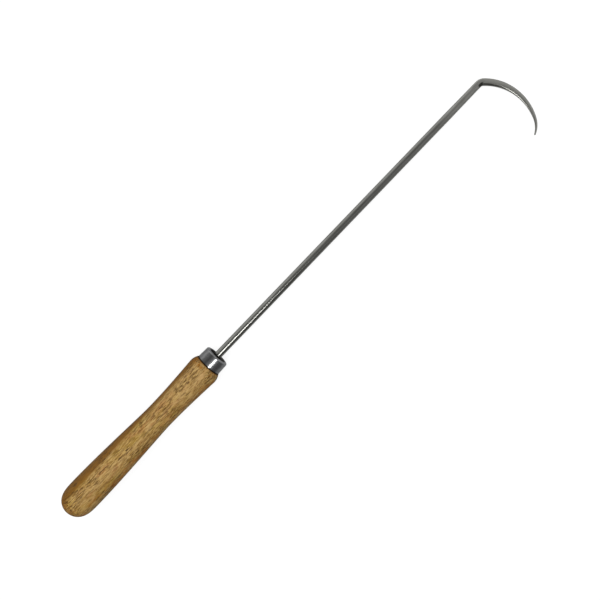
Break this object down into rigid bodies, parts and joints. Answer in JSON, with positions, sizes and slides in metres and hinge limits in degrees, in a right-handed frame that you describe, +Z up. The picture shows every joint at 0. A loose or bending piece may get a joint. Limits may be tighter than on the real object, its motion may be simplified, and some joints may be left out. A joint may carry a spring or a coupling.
{
  "type": "hooked hive tool",
  "caption": "Long round steel rod bent into a tapering pointed claw, set in a turned wooden handle with a steel ferrule, for clearing and pulling inside a beehive.",
  "frame": {"origin": "on the surface the tool lies on, under the middle of its bounding box", "axes": "+X along the tool from the handle's butt to the claw, -Y the way the claw curls, +Z up from the surface it lies on"},
  "size_m": [0.3988, 0.0616, 0.025],
  "materials": {
    "lacquered_wood": "open-pored light hardwood under clear lacquer, satin",
    "ferrule_steel": "pressed bright steel, fine turning marks, lightly handled",
    "rod_steel": "drawn steel rod, bright along its length, forged and filed at the claw"
  },
  "bodies": {
    "root": {"handle": "lacquered_wood", "ferrule": "ferrule_steel", "hook_rod": "rod_steel"}
  },
  "joints": []
}
